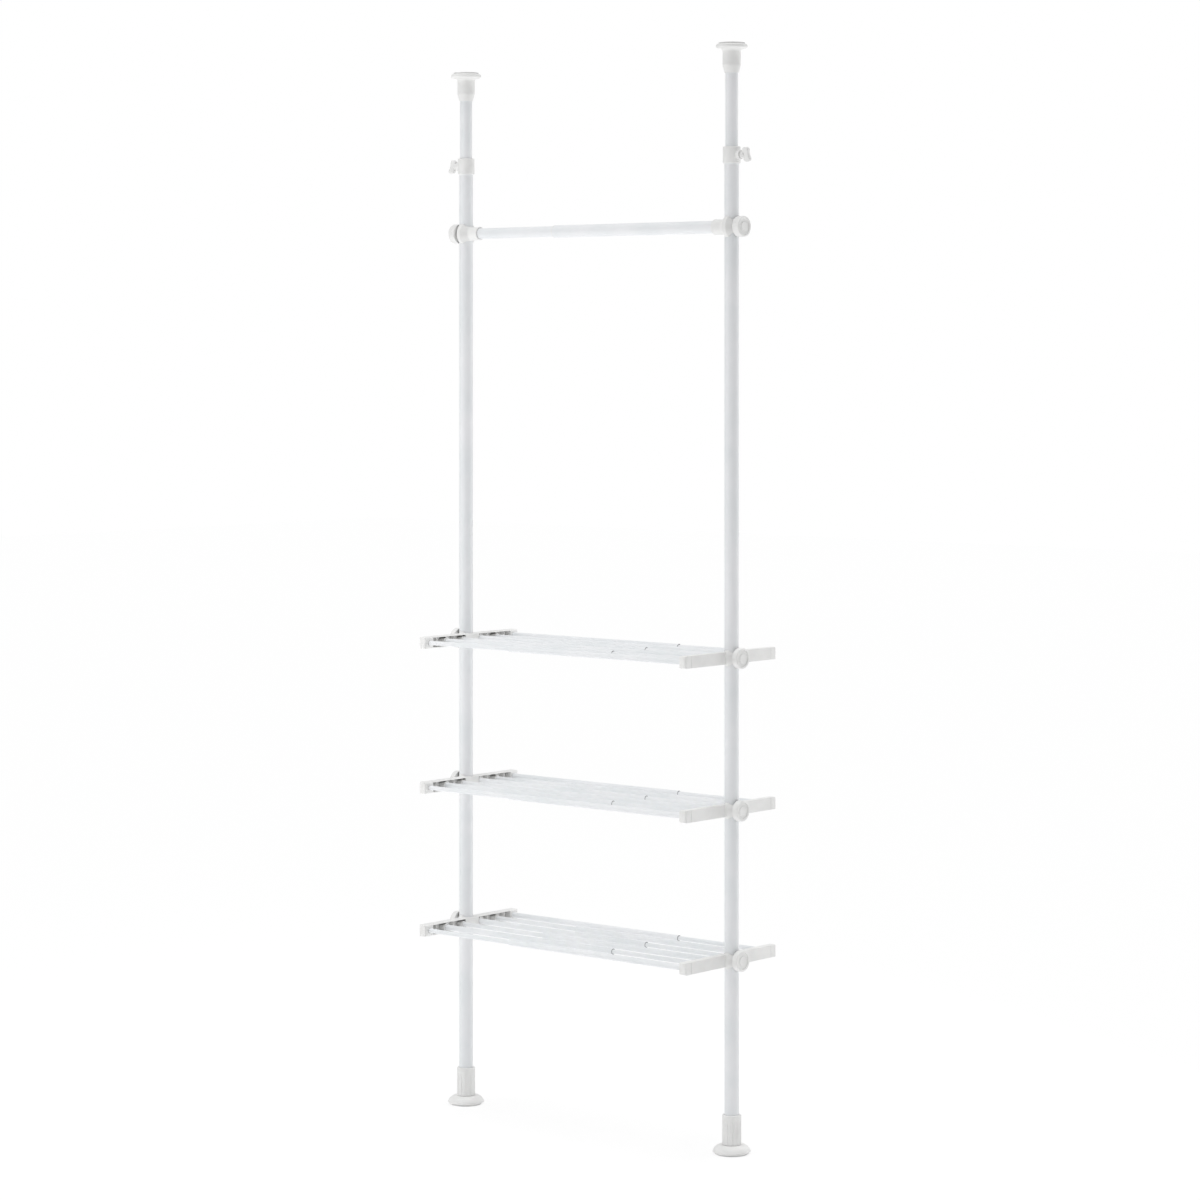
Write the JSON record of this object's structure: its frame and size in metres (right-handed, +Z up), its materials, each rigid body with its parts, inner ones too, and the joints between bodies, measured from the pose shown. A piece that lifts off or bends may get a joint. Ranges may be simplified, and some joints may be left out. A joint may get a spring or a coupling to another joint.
{
  "type": "tension pole shelf unit",
  "caption": "Floor-to-ceiling tension pole rack with telescoping bar shelves, a telescoping clothes rod and clamp knobs, braced by screw feet.",
  "frame": {"origin": "on the floor, midway between the two pole axes", "axes": "+X from the left pole to the right pole, -Y the front, +Z up"},
  "size_m": [0.887, 0.32, 2.4233],
  "materials": {
    "powder_coat": "white satin powder coat on steel tube",
    "plastic": "white moulded polypropylene, fine matt",
    "rubber": "grey non-slip rubber",
    "brass": "turned brass thread insert"
  },
  "bodies": {
    "left_pole": {"left_outer_tube": "powder_coat", "left_height_collar": "plastic", "left_end_plug": "plastic"},
    "left_extension": {"left_inner_tube": "powder_coat", "left_top_cap": "plastic", "left_cap_pad": "rubber"},
    "left_wing": {"left_wing_screw": "plastic"},
    "left_jack": {"left_jack_sleeve": "plastic"},
    "left_foot": {"left_foot_disc": "plastic", "left_foot_pad": "rubber"},
    "right_pole": {"right_outer_tube": "powder_coat", "right_height_collar": "plastic", "right_end_plug": "plastic"},
    "right_extension": {"right_inner_tube": "powder_coat", "right_top_cap": "plastic", "right_cap_pad": "rubber"},
    "right_wing": {"right_wing_screw": "plastic"},
    "right_jack": {"right_jack_sleeve": "plastic"},
    "right_foot": {"right_foot_disc": "plastic", "right_foot_pad": "rubber"},
    "rod_left": {"rod_left_holder": "plastic", "rod_left_thin_tube": "powder_coat", "rod_left_insert": "brass"},
    "rod_left_clamp": {"rod_left_knob": "plastic"},
    "rod_right": {"rod_right_holder": "plastic", "rod_right_thick_tube": "powder_coat", "rod_right_bush": "plastic", "rod_right_insert": "brass"},
    "rod_right_clamp": {"rod_right_knob": "plastic"},
    "lower_shelf_left": {"lower_left_arm": "plastic", "lower_left_tubes": "powder_coat", "lower_left_rods": "powder_coat", "lower_left_insert": "brass"},
    "lower_left_clamp": {"lower_left_knob": "plastic"},
    "lower_shelf_right": {"lower_right_arm": "plastic", "lower_right_tubes": "powder_coat", "lower_right_rods": "powder_coat", "lower_right_insert": "brass"},
    "lower_right_clamp": {"lower_right_knob": "plastic"},
    "middle_shelf_left": {"middle_left_arm": "plastic", "middle_left_tubes": "powder_coat", "middle_left_rods": "powder_coat", "middle_left_insert": "brass"},
    "middle_left_clamp": {"middle_left_knob": "plastic"},
    "middle_shelf_right": {"middle_right_arm": "plastic", "middle_right_tubes": "powder_coat", "middle_right_rods": "powder_coat", "middle_right_insert": "brass"},
    "middle_right_clamp": {"middle_right_knob": "plastic"},
    "upper_shelf_left": {"upper_left_arm": "plastic", "upper_left_tubes": "powder_coat", "upper_left_rods": "powder_coat", "upper_left_insert": "brass"},
    "upper_left_clamp": {"upper_left_knob": "plastic"},
    "upper_shelf_right": {"upper_right_arm": "plastic", "upper_right_tubes": "powder_coat", "upper_right_rods": "powder_coat", "upper_right_insert": "brass"},
    "upper_right_clamp": {"upper_right_knob": "plastic"}
  },
  "joints": [
    {"name": "width", "type": "slide", "parent": "left_pole", "child": "right_pole", "axis": [1, 0, 0], "range_m": [-0.2, 0.08]},
    {"name": "left_height", "type": "slide", "parent": "left_pole", "child": "left_extension", "axis": [0, 0, 1], "range_m": [-0.125, 0.35]},
    {"name": "left_wing_turn", "type": "hinge", "parent": "left_pole", "child": "left_wing", "pos_m": [-0.393, 0, 2.1781], "axis": [-1, 0, 0], "range_deg": [0, 360]},
    {"name": "left_jack_turn", "type": "hinge", "parent": "left_pole", "child": "left_jack", "pos_m": [-0.393, 0, 0.05], "axis": [0, 0, 1], "range_deg": [0, 1800]},
    {"name": "left_foot_lift", "type": "slide", "parent": "left_pole", "child": "left_foot", "axis": [0, 0, -1], "range_m": [0, 0.025]},
    {"name": "right_height", "type": "slide", "parent": "right_pole", "child": "right_extension", "axis": [0, 0, 1], "range_m": [-0.15, 0.323]},
    {"name": "right_wing_turn", "type": "hinge", "parent": "right_pole", "child": "right_wing", "pos_m": [0.393, 0, 2.1781], "axis": [1, 0, 0], "range_deg": [0, 360]},
    {"name": "right_jack_turn", "type": "hinge", "parent": "right_pole", "child": "right_jack", "pos_m": [0.393, 0, 0.05], "axis": [0, 0, 1], "range_deg": [0, 1800]},
    {"name": "right_foot_lift", "type": "slide", "parent": "right_pole", "child": "right_foot", "axis": [0, 0, -1], "range_m": [0, 0.025]},
    {"name": "rod_height", "type": "slide", "parent": "left_pole", "child": "rod_left", "axis": [0, 0, 1], "range_m": [-0.3, 0.09]},
    {"name": "rod_width", "type": "slide", "parent": "rod_left", "child": "rod_right", "axis": [1, 0, 0], "range_m": [-0.2, 0.08]},
    {"name": "rod_left_knob_turn", "type": "hinge", "parent": "rod_left", "child": "rod_left_clamp", "pos_m": [-0.393, 0, 2.0216], "axis": [-1, 0, 0], "range_deg": [0, 360]},
    {"name": "rod_right_knob_turn", "type": "hinge", "parent": "rod_right", "child": "rod_right_clamp", "pos_m": [0.393, 0, 2.0216], "axis": [1, 0, 0], "range_deg": [0, 360]},
    {"name": "lower_shelf_height", "type": "slide", "parent": "left_pole", "child": "lower_shelf_left", "axis": [0, 0, 1], "range_m": [-0.25, 0.12]},
    {"name": "lower_shelf_width", "type": "slide", "parent": "lower_shelf_left", "child": "lower_shelf_right", "axis": [1, 0, 0], "range_m": [-0.2, 0.08]},
    {"name": "lower_left_knob_turn", "type": "hinge", "parent": "lower_shelf_left", "child": "lower_left_clamp", "pos_m": [-0.393, 0, 0.422], "axis": [-1, 0, 0], "range_deg": [0, 360]},
    {"name": "lower_right_knob_turn", "type": "hinge", "parent": "lower_shelf_right", "child": "lower_right_clamp", "pos_m": [0.393, 0, 0.422], "axis": [1, 0, 0], "range_deg": [0, 360]},
    {"name": "middle_shelf_height", "type": "slide", "parent": "left_pole", "child": "middle_shelf_left", "axis": [0, 0, 1], "range_m": [-0.12, 0.12]},
    {"name": "middle_shelf_width", "type": "slide", "parent": "middle_shelf_left", "child": "middle_shelf_right", "axis": [1, 0, 0], "range_m": [-0.2, 0.08]},
    {"name": "middle_left_knob_turn", "type": "hinge", "parent": "middle_shelf_left", "child": "middle_left_clamp", "pos_m": [-0.393, 0, 0.749], "axis": [-1, 0, 0], "range_deg": [0, 360]},
    {"name": "middle_right_knob_turn", "type": "hinge", "parent": "middle_shelf_right", "child": "middle_right_clamp", "pos_m": [0.393, 0, 0.749], "axis": [1, 0, 0], "range_deg": [0, 360]},
    {"name": "upper_shelf_height", "type": "slide", "parent": "left_pole", "child": "upper_shelf_left", "axis": [0, 0, 1], "range_m": [-0.12, 0.5]},
    {"name": "upper_shelf_width", "type": "slide", "parent": "upper_shelf_left", "child": "upper_shelf_right", "axis": [1, 0, 0], "range_m": [-0.2, 0.08]},
    {"name": "upper_left_knob_turn", "type": "hinge", "parent": "upper_shelf_left", "child": "upper_left_clamp", "pos_m": [-0.393, 0, 1.081], "axis": [-1, 0, 0], "range_deg": [0, 360]},
    {"name": "upper_right_knob_turn", "type": "hinge", "parent": "upper_shelf_right", "child": "upper_right_clamp", "pos_m": [0.393, 0, 1.081], "axis": [1, 0, 0], "range_deg": [0, 360]}
  ],
  "couplings": [
    {"joint": "left_jack_turn", "follows": "left_foot_lift", "rad_per_m": 1256.6},
    {"joint": "right_jack_turn", "follows": "right_foot_lift", "rad_per_m": 1256.6},
    {"joint": "rod_width", "follows": "width", "ratio": 1},
    {"joint": "lower_shelf_width", "follows": "width", "ratio": 1},
    {"joint": "middle_shelf_width", "follows": "width", "ratio": 1},
    {"joint": "upper_shelf_width", "follows": "width", "ratio": 1}
  ]
}
